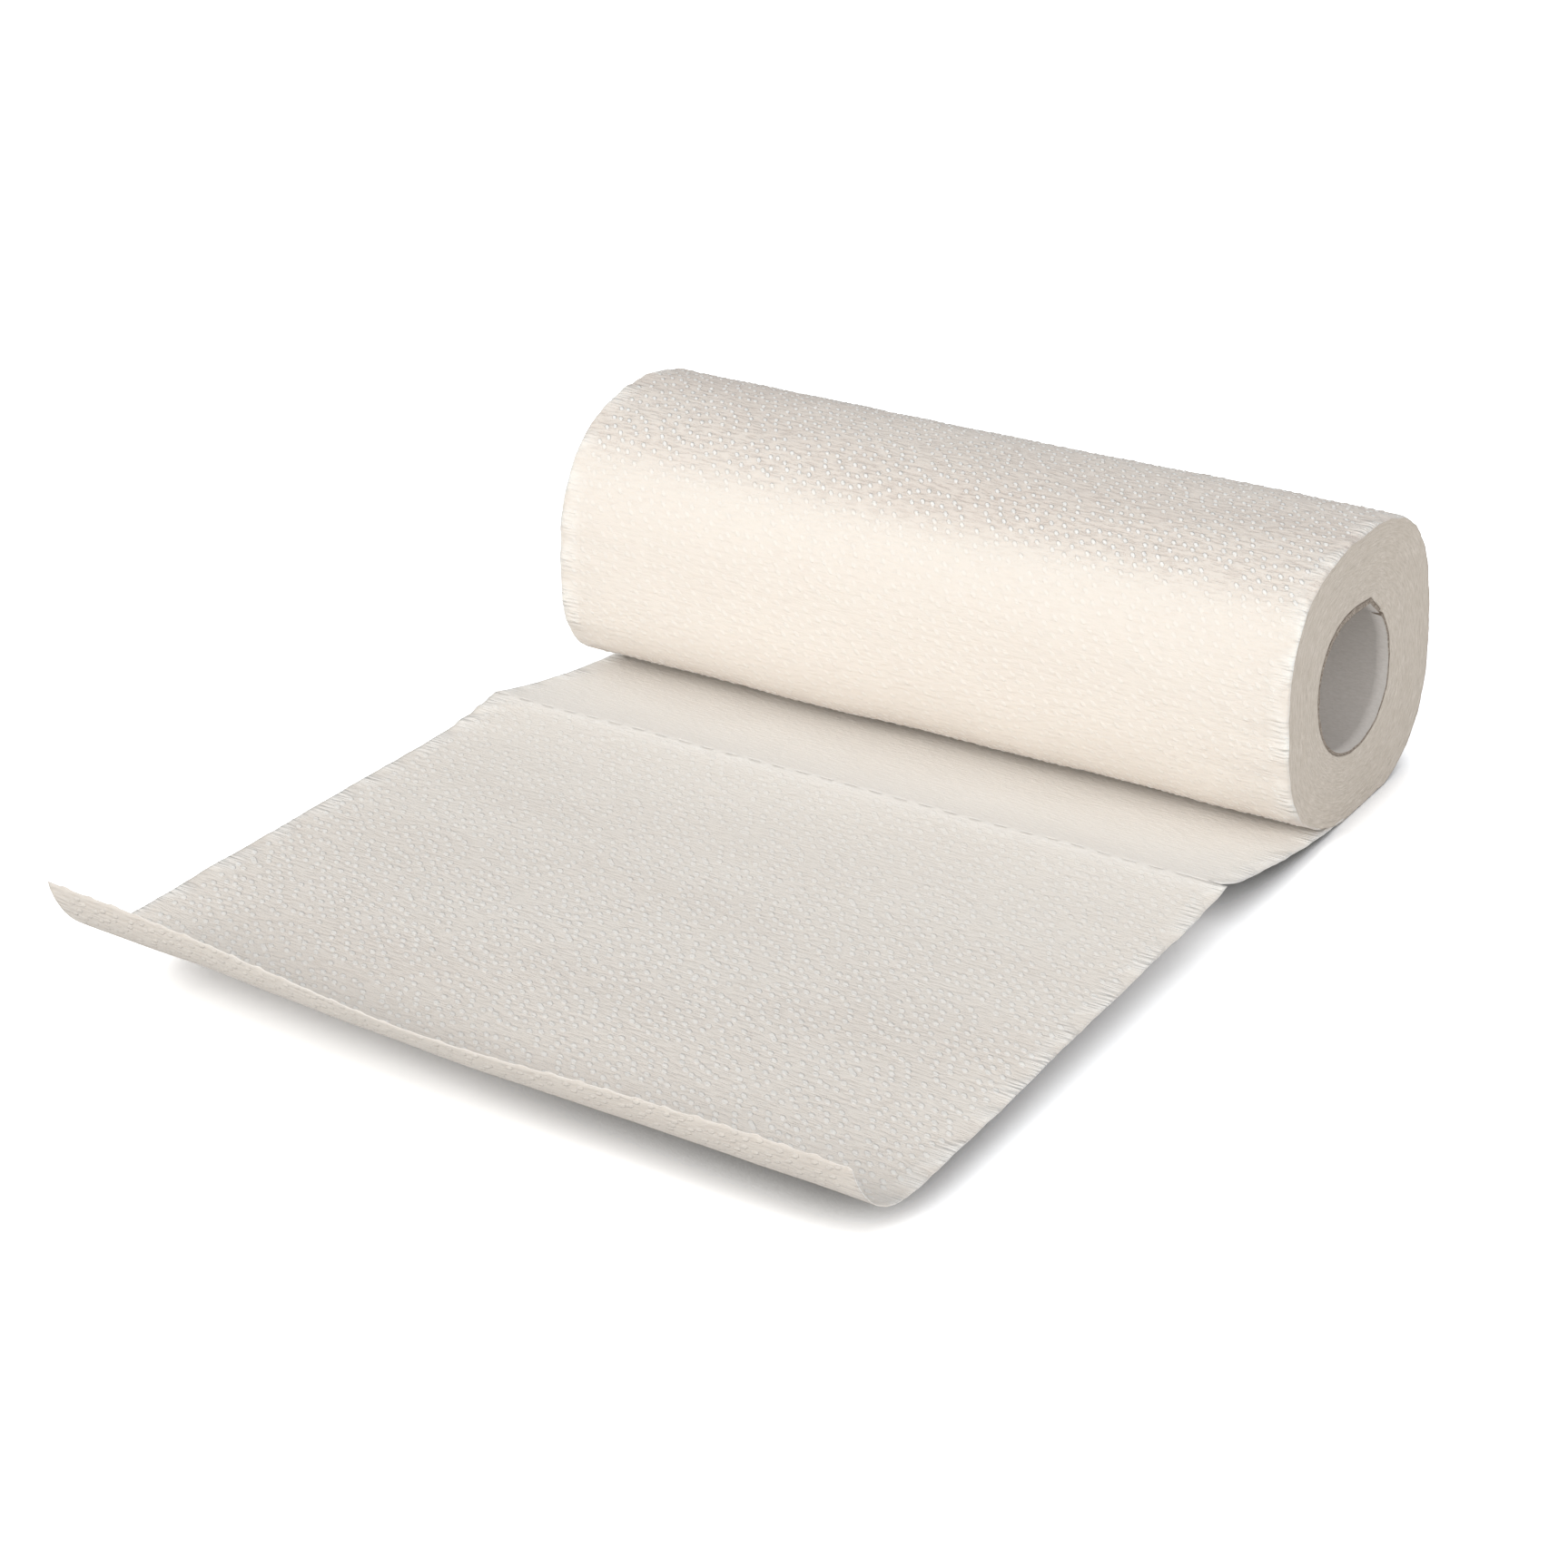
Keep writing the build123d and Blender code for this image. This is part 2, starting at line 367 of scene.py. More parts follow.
def creped_tissue(name, cloud_and_crease_shade_colour, flat_lit_colour, pressed_lit_colour, paper_colour, dot_highlight_colour):
    """Creped two-ply tissue, embossed: matt, cloudy where the plies part, with dots that catch the light and
    carry a painted highlight, and painted shade in the creases and the deep emboss.
    """
    # Light wanders about a millimetre through the loose fibres, and through the single sheet
    material, tree, shader = new_material(name, {
        "Roughness": 0.9, "Specular IOR Level": 0.25, "Sheen Weight": 0.08, "Sheen Roughness": 0.6,
        "Subsurface Weight": 0.5, "Subsurface Radius": (1.0, 0.95, 0.9), "Subsurface Scale": 0.8 * MM})
    paper = add_node(tree, "ShaderNodeUVMap", uv_map="flat_paper").outputs["UV"]
    place = add_node(tree, "ShaderNodeTexCoord").outputs["Object"]
    dots = add_node(tree, "ShaderNodeAttribute", attribute_name="dot_rise").outputs["Fac"]
    depth = add_node(tree, "ShaderNodeAttribute", attribute_name="emboss_depth_and_shade").outputs["Fac"]

    # Crepe ridges lie across the web, about 1 mm apart and 4 mm long
    crepe_place = add_node(tree, "ShaderNodeMapping", {"Vector": paper, "Scale": (230, 950, 1)})
    crepe = add_node(tree, "ShaderNodeTexNoise", {
        "Vector": crepe_place.outputs["Vector"], "Scale": 1.0, "Detail": 3.0, "Roughness": 0.6})
    # Loose fibres and the soft hollows between the dots, about 2.5 mm across
    hollow = add_node(tree, "ShaderNodeTexNoise", {
        "Vector": place, "Scale": 400.0, "Detail": 2.0, "Roughness": 0.5})
    height = add_node(tree, "ShaderNodeMath", {
        0: crepe.outputs["Fac"], 1: 1.1, 2: hollow.outputs["Fac"]}, operation="MULTIPLY_ADD")
    # Cloudy bands of the tissue, about 30 mm wide and three times as long across the web
    cloud_place = add_node(tree, "ShaderNodeMapping", {"Vector": paper, "Scale": (10, 32, 1)})
    cloud = add_node(tree, "ShaderNodeTexNoise", {
        "Vector": cloud_place.outputs["Vector"], "Scale": 1.0, "Detail": 2.0, "Roughness": 0.5})

    # Crimps of the cut rims: strokes across the rim, about 1 mm apart, in patches along the last 7 mm
    across = add_node(tree, "ShaderNodeSeparateXYZ", {"Vector": paper})
    aside = add_node(tree, "ShaderNodeMath", {0: across.outputs["X"]}, operation="ABSOLUTE")
    rim = add_node(tree, "ShaderNodeMapRange", {
        "Value": aside.outputs["Value"], "From Min": (half_length - 7) * MM, "From Max": half_length * MM})
    stroke_place = add_node(tree, "ShaderNodeMapping", {"Vector": paper, "Scale": (110, 800, 1)})
    stroke = add_node(tree, "ShaderNodeTexNoise", {
        "Vector": stroke_place.outputs["Vector"], "Scale": 1.0, "Detail": 1.0})
    patch = add_node(tree, "ShaderNodeTexNoise", {"Vector": paper, "Scale": 90.0, "Detail": 0.0})
    patched = add_node(tree, "ShaderNodeMapRange", {
        "Value": patch.outputs["Fac"], "From Min": 0.42, "From Max": 0.58})
    gathered = add_node(tree, "ShaderNodeMath", {
        0: rim.outputs["Result"], 1: patched.outputs["Result"]}, operation="MULTIPLY")
    crimp = add_node(tree, "ShaderNodeMath", {0: gathered.outputs["Value"], 1: 9.0}, operation="MULTIPLY")
    crimped = add_node(tree, "ShaderNodeMath", {
        0: stroke.outputs["Fac"], 1: crimp.outputs["Value"], 2: height.outputs["Value"]},
        operation="MULTIPLY_ADD")

    # The mark falls from 1 to 0 over about 1 mm, and this makes a round dot of about 1.5 mm of it
    dot = add_node(tree, "ShaderNodeMapRange", {
        "Value": dots, "From Min": 0.04, "From Max": 0.45}, interpolation_type="SMOOTHSTEP")
    # How strongly each dot is painted pale, as painted highlight
    pressed = add_node(tree, "ShaderNodeMath", {0: dot.outputs["Result"], 1: depth}, operation="MULTIPLY")
    # The emboss draws the crepe into short creases between the dots
    crease = add_node(tree, "ShaderNodeMapRange", {
        "Value": crepe.outputs["Fac"], "From Min": 0.33, "From Max": 0.52, "To Min": 1.0, "To Max": 0.0})
    drawn = add_node(tree, "ShaderNodeMath", {0: dot.outputs["Result"], 1: 2.1}, operation="MULTIPLY")
    creased = add_node(tree, "ShaderNodeMath", {
        0: crease.outputs["Result"], 1: -0.9, 2: drawn.outputs["Value"]}, operation="MULTIPLY_ADD")
    raised = add_node(tree, "ShaderNodeMath", {
        0: creased.outputs["Value"], 1: depth, 2: crimped.outputs["Value"]}, operation="MULTIPLY_ADD")
    bump = add_node(tree, "ShaderNodeBump", {
        "Height": raised.outputs["Value"], "Strength": 1.0, "Distance": 0.2 * MM})

    # Painted shade and light: the paper's tone is darker where the emboss is deep, as shade between the dots,
    # and lighter where the emboss is pulled flat or pressed, which paints the flap and the roll's front lighter
    tone = add_node(tree, "ShaderNodeValToRGB", {"Fac": depth})
    stops = tone.color_ramp.elements
    stops[0].position, stops[0].color = flap_depth, flat_lit_colour
    stops[1].position, stops[1].color = 1.0, paper_colour
    stops.new(pressed_depth).color = pressed_lit_colour
    # The cloudy bands vary the tone at random; the creases between the dots are painted darker toward the same
    # colour, as painted shade, more where the emboss is deep
    patchy = add_node(tree, "ShaderNodeMapRange", {
        "Value": cloud.outputs["Fac"], "From Min": 0.35, "From Max": 0.65, "To Max": 0.35})
    shaded = add_node(tree, "ShaderNodeMath", {
        0: crease.outputs["Result"], 1: 0.4, 2: patchy.outputs["Result"]}, operation="MULTIPLY_ADD")
    shade = add_node(tree, "ShaderNodeMath", {0: shaded.outputs["Value"], 1: depth}, operation="MULTIPLY")
    clouded = add_node(tree, "ShaderNodeMix", {
        "Factor": shade.outputs["Value"], "A": tone.outputs["Color"], "B": cloud_and_crease_shade_colour}, data_type="RGBA")
    # Painted highlight: the dots and the crimped patches along the rims are coloured palest, toward the dot
    # colour
    pale = add_node(tree, "ShaderNodeMath", {
        0: gathered.outputs["Value"], 1: 0.6, 2: pressed.outputs["Value"]},
        operation="MULTIPLY_ADD", use_clamp=True)
    lit = add_node(tree, "ShaderNodeMix", {
        "Factor": pale.outputs["Value"], "A": clouded.outputs["Result"], "B": dot_highlight_colour}, data_type="RGBA")
    tree.links.new(lit.outputs["Result"], shader.inputs["Base Color"])
    tree.links.new(bump.outputs["Normal"], shader.inputs["Normal"])
    return material


def front_tissue(settings):
    """The tissue of the roll's outside and of the sheet's top, which both share."""
    made = bpy.data.materials.get("creped_tissue")
    return made or creped_tissue(
        "creped_tissue", settings.cloud_and_crease_shade_colour, settings.flat_lit_colour, settings.pressed_lit_colour,
        settings.paper_colour, settings.dot_highlight_colour)


def shaded_back_tissue(settings):
    """The tissue of the sheet's underside: a shaded copy of the front tissue, painted a little greyer as
    painted shade, and its dots are hollows that show less.
    """
    back = settings.back_shade_colour
    return creped_tissue("tissue_back_shaded", settings.cloud_and_crease_shade_colour, back, back, back, settings.paper_colour)


def cut_paper_edges(settings):
    """The sawn ends of the wound web: soft, greyer than the sheet where the gaps between the turns are painted
    darker as painted shade, and streaked by the turns.
    """
    material, tree, shader = new_material("cut_paper_edges", {"Roughness": 0.95, "Specular IOR Level": 0.2})
    paper = add_node(tree, "ShaderNodeUVMap", uv_map="flat_paper").outputs["UV"]
    place = add_node(tree, "ShaderNodeTexCoord").outputs["Object"]
    # Turns are about 0.4 mm apart, drawn a little coarser so that they show, and run on along the winding; the
    # gaps between them are painted darker, as painted shade
    turns_place = add_node(tree, "ShaderNodeMapping", {"Vector": paper, "Scale": (2000, 210, 1)})
    turns = add_node(tree, "ShaderNodeTexNoise", {
        "Vector": turns_place.outputs["Vector"], "Scale": 1.0, "Detail": 3.0, "Roughness": 0.65})
    shade = add_node(tree, "ShaderNodeMapRange", {
        "Value": turns.outputs["Fac"], "From Min": 0.32, "From Max": 0.62})
    # The saw has frayed the end in soft blotches about 5 mm across
    frayed = add_node(tree, "ShaderNodeTexNoise", {
        "Vector": place, "Scale": 200.0, "Detail": 3.0, "Roughness": 0.6})
    mixed = add_node(tree, "ShaderNodeMath", {
        0: shade.outputs["Result"], 1: frayed.outputs["Fac"]}, operation="MULTIPLY")
    tone = add_node(tree, "ShaderNodeMix", {
        "Factor": mixed.outputs["Value"], "A": settings.gap_shade_colour, "B": settings.edge_colour},
        data_type="RGBA")
    bump = add_node(tree, "ShaderNodeBump", {
        "Height": mixed.outputs["Value"], "Strength": 0.6, "Distance": 0.4 * MM})
    tree.links.new(tone.outputs["Result"], shader.inputs["Base Color"])
    tree.links.new(bump.outputs["Normal"], shader.inputs["Normal"])
    return material


def recycled_board(name, colour, fleck_colour):
    """Spirally wound recycled board: matt grey-brown, with fibre flecks a millimetre long and half as wide."""
    material, tree, shader = new_material(name, {"Roughness": 0.75, "Specular IOR Level": 0.35})
    place = add_node(tree, "ShaderNodeTexCoord").outputs["Object"]
    fibre_place = add_node(tree, "ShaderNodeMapping", {"Vector": place, "Scale": (700, 2000, 2000)})
    fibre = add_node(tree, "ShaderNodeTexNoise", {
        "Vector": fibre_place.outputs["Vector"], "Scale": 1.0, "Detail": 3.0, "Roughness": 0.7})
    flecks = add_node(tree, "ShaderNodeMapRange", {
        "Value": fibre.outputs["Fac"], "From Min": 0.35, "From Max": 0.7})
    tone = add_node(tree, "ShaderNodeMix", {
        "Factor": flecks.outputs["Result"], "A": fleck_colour, "B": colour}, data_type="RGBA")
    # The plies' joint and the rim's outer corner are darker lines, and the nick is painted dark as painted
    # shade in its gap
    joint = add_node(tree, "ShaderNodeAttribute", attribute_name="ply_joint")
    lined = add_node(tree, "ShaderNodeMix", {
        "Factor": joint.outputs["Fac"], "A": tone.outputs["Result"], "B": fleck_colour}, data_type="RGBA")
    bump = add_node(tree, "ShaderNodeBump", {
        "Height": fibre.outputs["Fac"], "Strength": 0.35, "Distance": 0.15 * MM})
    tree.links.new(lined.outputs["Result"], shader.inputs["Base Color"])
    tree.links.new(bump.outputs["Normal"], shader.inputs["Normal"])
    return material


def pale_floor(settings):
    """Matt paint that is white to the camera apart from the object's painted shadow, and pale grey to the
    light.
    """
    material = bpy.data.materials.new("pale_floor")
    tree = empty_tree(material)
    ray = add_node(tree, "ShaderNodeLightPath")
    # The shadow hugs what stands on the floor and falls to the front right, as in the photograph
    # Painted shadow: ambient occlusion with tilted normals darkens the floor's colour for the camera
    beside = add_node(tree, "ShaderNodeAmbientOcclusion", {
        "Distance": settings.shadow_reach, "Normal": (-0.5, 0.3, 0.8)}, samples=6)
    before = add_node(tree, "ShaderNodeAmbientOcclusion", {
        "Distance": 2.2 * settings.shadow_reach, "Normal": (0.1, 0.9, 0.42)}, samples=6)
    hugging = add_node(tree, "ShaderNodeMath", {
        0: beside.outputs["AO"], 1: before.outputs["AO"]}, operation="MULTIPLY")
    softened = add_node(tree, "ShaderNodeMath", {
        0: hugging.outputs["Value"], 1: settings.shadow_strength}, operation="POWER")
    seen = add_node(tree, "ShaderNodeMath", {
        0: softened.outputs["Value"], 1: settings.floor_gain}, operation="MULTIPLY")
    # A cooler floor takes the lamps' warmth out of the shadow
    cooled = add_node(tree, "ShaderNodeVectorMath", {
        0: (0.95, 0.97, 1.0), "Scale": seen.outputs["Value"]}, operation="SCALE")
    tone = add_node(tree, "ShaderNodeMix", {
        "Factor": ray.outputs["Is Camera Ray"], "A": linear("#E4E4E4"), "B": cooled.outputs["Vector"]},
        data_type="RGBA")
    painted = add_node(tree, "ShaderNodeBsdfDiffuse", {"Color": tone.outputs["Result"]})
    add_node(tree, "ShaderNodeOutputMaterial", {"Surface": painted.outputs["BSDF"]})
    return material


def length_setting(name, description, millimetres):
    return bpy.props.FloatProperty(
        name=name, description=description, default=millimetres * MM, unit="LENGTH")


def colour_setting(name, description, code):
    return bpy.props.FloatVectorProperty(
        name=name, description=description, default=linear(code), size=4, min=0, max=1, subtype="COLOR")


class PaperSettings(bpy.types.PropertyGroup):
    """The embossed paper"""

    ring_spacing: length_setting("Ring spacing", "Distance between two rings of dots", 3.7)
    dot_spacing: length_setting("Dot spacing", "Distance between two dots of a ring", 2.95)
    motif_width: length_setting("Motif width", "Distance between two ring centres across the web", 51)
    motif_length: length_setting("Motif length", "Distance between two rows of ring centres", 15)
    dot_height: length_setting("Dot height", "How far a dot stands out of the paper", 0.25)
    # Painted shade and light: the paper is darkest with its whole emboss and lighter where its emboss is pulled
    # flat or pressed
    paper_colour: colour_setting("Paper", "The tissue with its whole emboss", "#ECE5DE")
    flat_lit_colour: colour_setting("Flat paper", "The tissue where its emboss is pulled flat", "#FAF5EF")
    pressed_lit_colour: colour_setting("Pressed paper", "The tissue where its emboss is pressed", "#F0EAE3")
    # Painted shade: the sheet's underside, seen on the curl's outside, is a darker copy of the tissue
    back_shade_colour: colour_setting(
        "Back of the sheet", "The sheet's underside, where the dots are hollows", "#DFD9D2")
    # Random cloudy tone, and painted shade in the creases between the dots
    cloud_and_crease_shade_colour: colour_setting("Cloud", "The tissue where the plies lie close", "#D3C7BF")
    # Painted highlight on the dots and on the crimped patches along the rims
    dot_highlight_colour: colour_setting("Dots", "The raised dots", "#FFFEFB")
    edge_colour: colour_setting("Cut edges", "The roll's ends", "#F1E8DF")
    # Painted shade in the gaps between the turns
    gap_shade_colour: colour_setting("Gaps", "Between the turns", "#CEC5B9")


class TubeSettings(bpy.types.PropertyGroup):
    """The cardboard tube"""

    ply_pitch: length_setting(
        "Ply pitch", "Length along the tube in which its ply joint goes once round", 75)
    lining_colour: colour_setting("Lining", "The tube's inside", "#DBD6D2")
    lining_fleck_colour: colour_setting("Lining flecks", "The lining's darker fibres", "#D0CBC6")
    board_colour: colour_setting("Board", "The tube's cut rim", "#C4B9AE")
    fleck_colour: colour_setting("Flecks", "The board's darker fibres", "#75695E")


class StudioSettings(bpy.types.PropertyGroup):
    """The floor, the lamps and the camera"""

    key_power: bpy.props.FloatProperty(
        name="Key lamp", description="Power of the large lamp at the front left", default=118, unit="POWER")
    fill_power: bpy.props.FloatProperty(
        name="Fill lamp", description="Power of the lamp at the front right", default=62, unit="POWER")
    room_light: bpy.props.FloatProperty(
        name="Room light", description="Strength of the even light from all sides", default=0.45)
    floor_gain: bpy.props.FloatProperty(
        name="Floor gain", description="How much brighter than white the floor is for the camera", default=2.9)
    shadow_strength: bpy.props.FloatProperty(
        name="Shadow strength", description="Power of the floor's contact shadow, less is paler", default=0.6)
    shadow_reach: length_setting("Shadow reach", "How far the floor's contact shadow runs out", 12)


def skin_bend(x, point):
    """How far the outer turn stands off its smooth section: slack waves, and pleats along the cut rims."""
    from_rim = half_length - abs(x)
    slack = slack_height * ripple(*point, 34) + slack_height / 2 * ripple(*point, 13)
    fold = ripple(0.12 * point.x, point.y, point.z, 7)
    pleat = abs(ripple(0.3 * point.x, point.y, point.z, 3))
    crimp = (crimp_height * fold * (1 - fade(from_rim, 3, 32))
             + crimp_height * pleat * (1 - fade(from_rim, 1, 7)))
    return slack * fade(from_rim, 0, 12) + crimp - rim_rounding * (1 - fade(from_rim, 0, 1.4))


def turn_relief(count, angle):
    """How far one turn of paper stands out of the roll's end."""
    alternate = turn_stagger if count % 2 else -turn_stagger
    wander = noise.noise(Vector((0.9 * cos(angle), 0.9 * sin(angle), 0.7 * count)))
    return alternate + turn_waviness * wander


class PAPERTOWEL_OT_roll(bpy.types.Operator):
    """Winds the roll: embossed outer turn, layered ends and the bore for the tube"""

    bl_idname = "papertowel.roll"
    bl_label = "Wound roll"

    def execute(self, context):
        settings = context.scene.paper_settings
        columns = skin_columns + 2 * face_columns + bore_columns
        mesh, grid, flat, rise, depth = flat_grid(columns, around_rows, "dot_rise", "emboss_depth_and_shade")
        angles, perimeter = even_angles(around_rows, 1)
        step_along = perimeter / around_rows
        step_across = roll_length / skin_columns
        dots = self.nearest_dots(settings, perimeter, step_across, step_along)
        dot_height = settings.dot_height / MM
        places = {}
        for (column, row), vert in grid.items():
            angle = angles[row]
            if column <= skin_columns:
                x = -half_length + column * step_across
                dot = dots.get((column, row % around_rows))
                if dot:
                    x, angle = dot[0], self.angle_at(angles, dot[1] / perimeter * around_rows)
                    vert[rise] = 1.0
                point, outward = self.skin_point(x, angle)
                # The emboss is pressed where the skin faces the front, and through the tone this paints the
                # front lighter than the top, as painted light
                vert[depth] = blend(1.0, pressed_depth, fade(-outward.y, 0.45, 0.85))
                point += outward * (skin_bend(x, point) + dot_height * vert[depth] * vert[rise])
            elif column <= skin_columns + face_columns:
                point, x = self.end_point(1, angle, column - skin_columns)
            elif column > columns - face_columns:
                point, x = self.end_point(-1, angle, columns - column)
            else:
                part = (column - skin_columns - face_columns) / bore_columns
                point, x = wound_point(blend(half_length, -half_length, part), angle, 0), 0
            point.z = max(point.z, 0.0)
            vert.co = point * MM
            places[vert] = (x, row * step_along)
        # The last column meets the first, so that the far rim closes
        for row in range(around_rows + 1):
            grid[columns, row].co = grid[0, row].co
        map_paper(mesh, flat, places)
        # The far end's first strip still shows as skin
        for face in mesh.faces:
            across = [places[vert][0] for vert in face.verts]
            cut = max(across) > half_length + 0.1 or min(across) < -half_length - 1.0
            face.material_index = 1 if cut else 0
        bmesh.ops.remove_doubles(mesh, verts=mesh.verts, dist=merge_distance * MM)
        materials = [front_tissue(settings), cut_paper_edges(settings)]
        finish_piece(mesh, "wound_roll", "towel_web", materials)
        return {"FINISHED"}

    def nearest_dots(self, settings, perimeter, step_across, step_along):
        """The emboss, with each dot kept by the column and row of the vertex that it lies nearest to."""
        dots = {}
        for x, along in dot_places(settings, perimeter):
            key = round((x + half_length) / step_across), round(along / step_along) % around_rows
            dots.setdefault(key, (x, along))
        return dots

    def angle_at(self, angles, row):
        """The angle at a row that may lie between two rows of the mesh."""
        whole = floor(row) % around_rows
        return blend(angles[whole], angles[whole + 1], row - floor(row))

    def skin_point(self, x, angle, step=0.01):
        """A point of the roll's smooth outside, and the direction that points straight out of it."""
        ahead, behind = wound_point(x, angle + step, 1), wound_point(x, angle - step, 1)
        return wound_point(x, angle, 1), Vector((0, ahead.z - behind.z, behind.y - ahead.y)).normalized()

    def end_point(self, side, angle, count):
        """A point of the right (1) or left (-1) end, count columns in from the rim, and its x on the map."""
        end = side * half_length
        grow = 1 - count / face_columns
        point = wound_point(end, angle, grow)
        relief = turn_relief(count, angle) * fade(count, 0, 2) * fade(grow, 0, 0.08)
        point.x += side * (relief - end_setback)
        if side > 0:
            beside_nick = abs(remainder(angle - nick_angle, tau)) * core_across / 2
            point.x -= nick_depth * (1 - fade(beside_nick, 0.4, 1.1)) * (1 - fade(grow, 0.02, 0.09))
        if grow:
            crimp = skin_bend(end, wound_point(end, angle, 1)) * fade(grow, 0.75, 1)
            point += (point - wound_point(end, angle, 0)).normalized() * crimp
        return point, side * (half_length + end_map_depth * (1 - grow))


def tail_path(side):
    """Length and turn of each stretch of the tail: side 0 is the left edge, side 1 the right edge."""
    run_pitch = blend(run_pitch_left, run_pitch_right, side)
    fall_pitch = blend(fall_pitch_left, fall_pitch_right, side)
    rise_turn = crest_pitch - root_pitch
    rise_radius = rise_reach / (sin(crest_pitch) - sin(root_pitch))
    crest_turn = -crest_pitch - fall_pitch
    run_length = sheet_length - fall_length - curl_length
    open_radius = curl_radius + lip_sag * exp(-((side - lip_sag_middle) / lip_sag_spread) ** 2)
    return [
        (root_run, 0),
        (rise_radius * rise_turn, rise_turn),
        (crest_radius * abs(crest_turn), crest_turn),
        (fall_length, fall_pitch + run_pitch),
        (run_length, 0),
        (curl_length, curl_length / open_radius),
    ]


def tail_step(y, z, pitch, length, turn):
    """Where a stretch of the tail ends that starts at y and z."""
    if not turn:
        return y - length * cos(pitch), z + length * sin(pitch), pitch
    radius = length / turn
    ended = pitch + turn
    return y - radius * (sin(ended) - sin(pitch)), z + radius * (cos(pitch) - cos(ended)), ended


def tail_point(side, distance):
    """The y, the z and the pitch of the tail's middle line at this distance from its root."""
    stretches = tail_path(side)
    y, z, pitch, start = -root_inset, root_height + paper_bulk / 2, root_pitch, 0.0
    for number, (length, turn) in enumerate(stretches, 1):
        if number == len(stretches) or distance <= start + length:
            break
        y, z, pitch = tail_step(y, z, pitch, length, turn)
        start += length
    part = (distance - start) / length
    return tail_step(y, z, pitch, length * part, turn * part)


def tail_bend(x, along, crest):
    """How far the loose sheet stands off its smooth line: slack waves, and pleats past the perforations."""
    slack = 0.45 * ripple(x, along, 3, 42) + 0.2 * ripple(x, along, 9, 15)
    past = along - crest
    pleat = abs(ripple(0.5 * (past + 0.7 * (x + half_length)), 0.1 * x, 5, 2.4))
    beside = 1 - fade(x, -half_length, -half_length + pleat_reach)
    gathered = beside * fade(past, 0, 2) * (1 - fade(past, 14, 26))
    return slack * fade(along, 6, 40) + pleat_height * pleat * gathered


